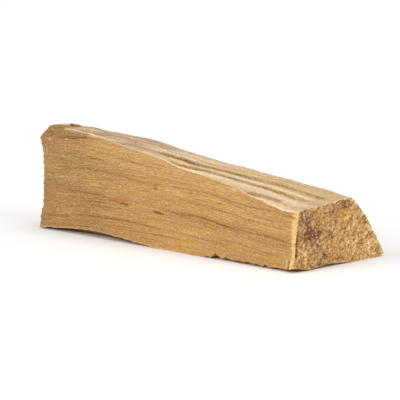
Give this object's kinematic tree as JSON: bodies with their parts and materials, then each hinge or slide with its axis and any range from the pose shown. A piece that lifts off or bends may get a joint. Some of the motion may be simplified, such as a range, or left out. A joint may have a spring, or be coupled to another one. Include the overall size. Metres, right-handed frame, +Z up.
{
  "type": "palo santo stick",
  "caption": "Chunky stick of fragrant wood, sawn square at both ends and split along the grain, with a hollowed front face, a ridged top and a sloping back.",
  "frame": {"origin": "middle of the stick's box, at the level of the surface that it lies on", "axes": "+X along the grain from the thick end to the thin end, +Y from the front face to the back, +Z up"},
  "size_m": [0.1, 0.0294, 0.0274],
  "materials": {
    "palo_santo_wood": "raw split wood, dry and matt: golden tan along the front with fine brown grain lines, paler and silvery on the split top, browner on the old weathered corner, and speckled with cut fibres on the sawn ends"
  },
  "bodies": {
    "root": {"palo_santo_stick": "palo_santo_wood"}
  },
  "joints": []
}
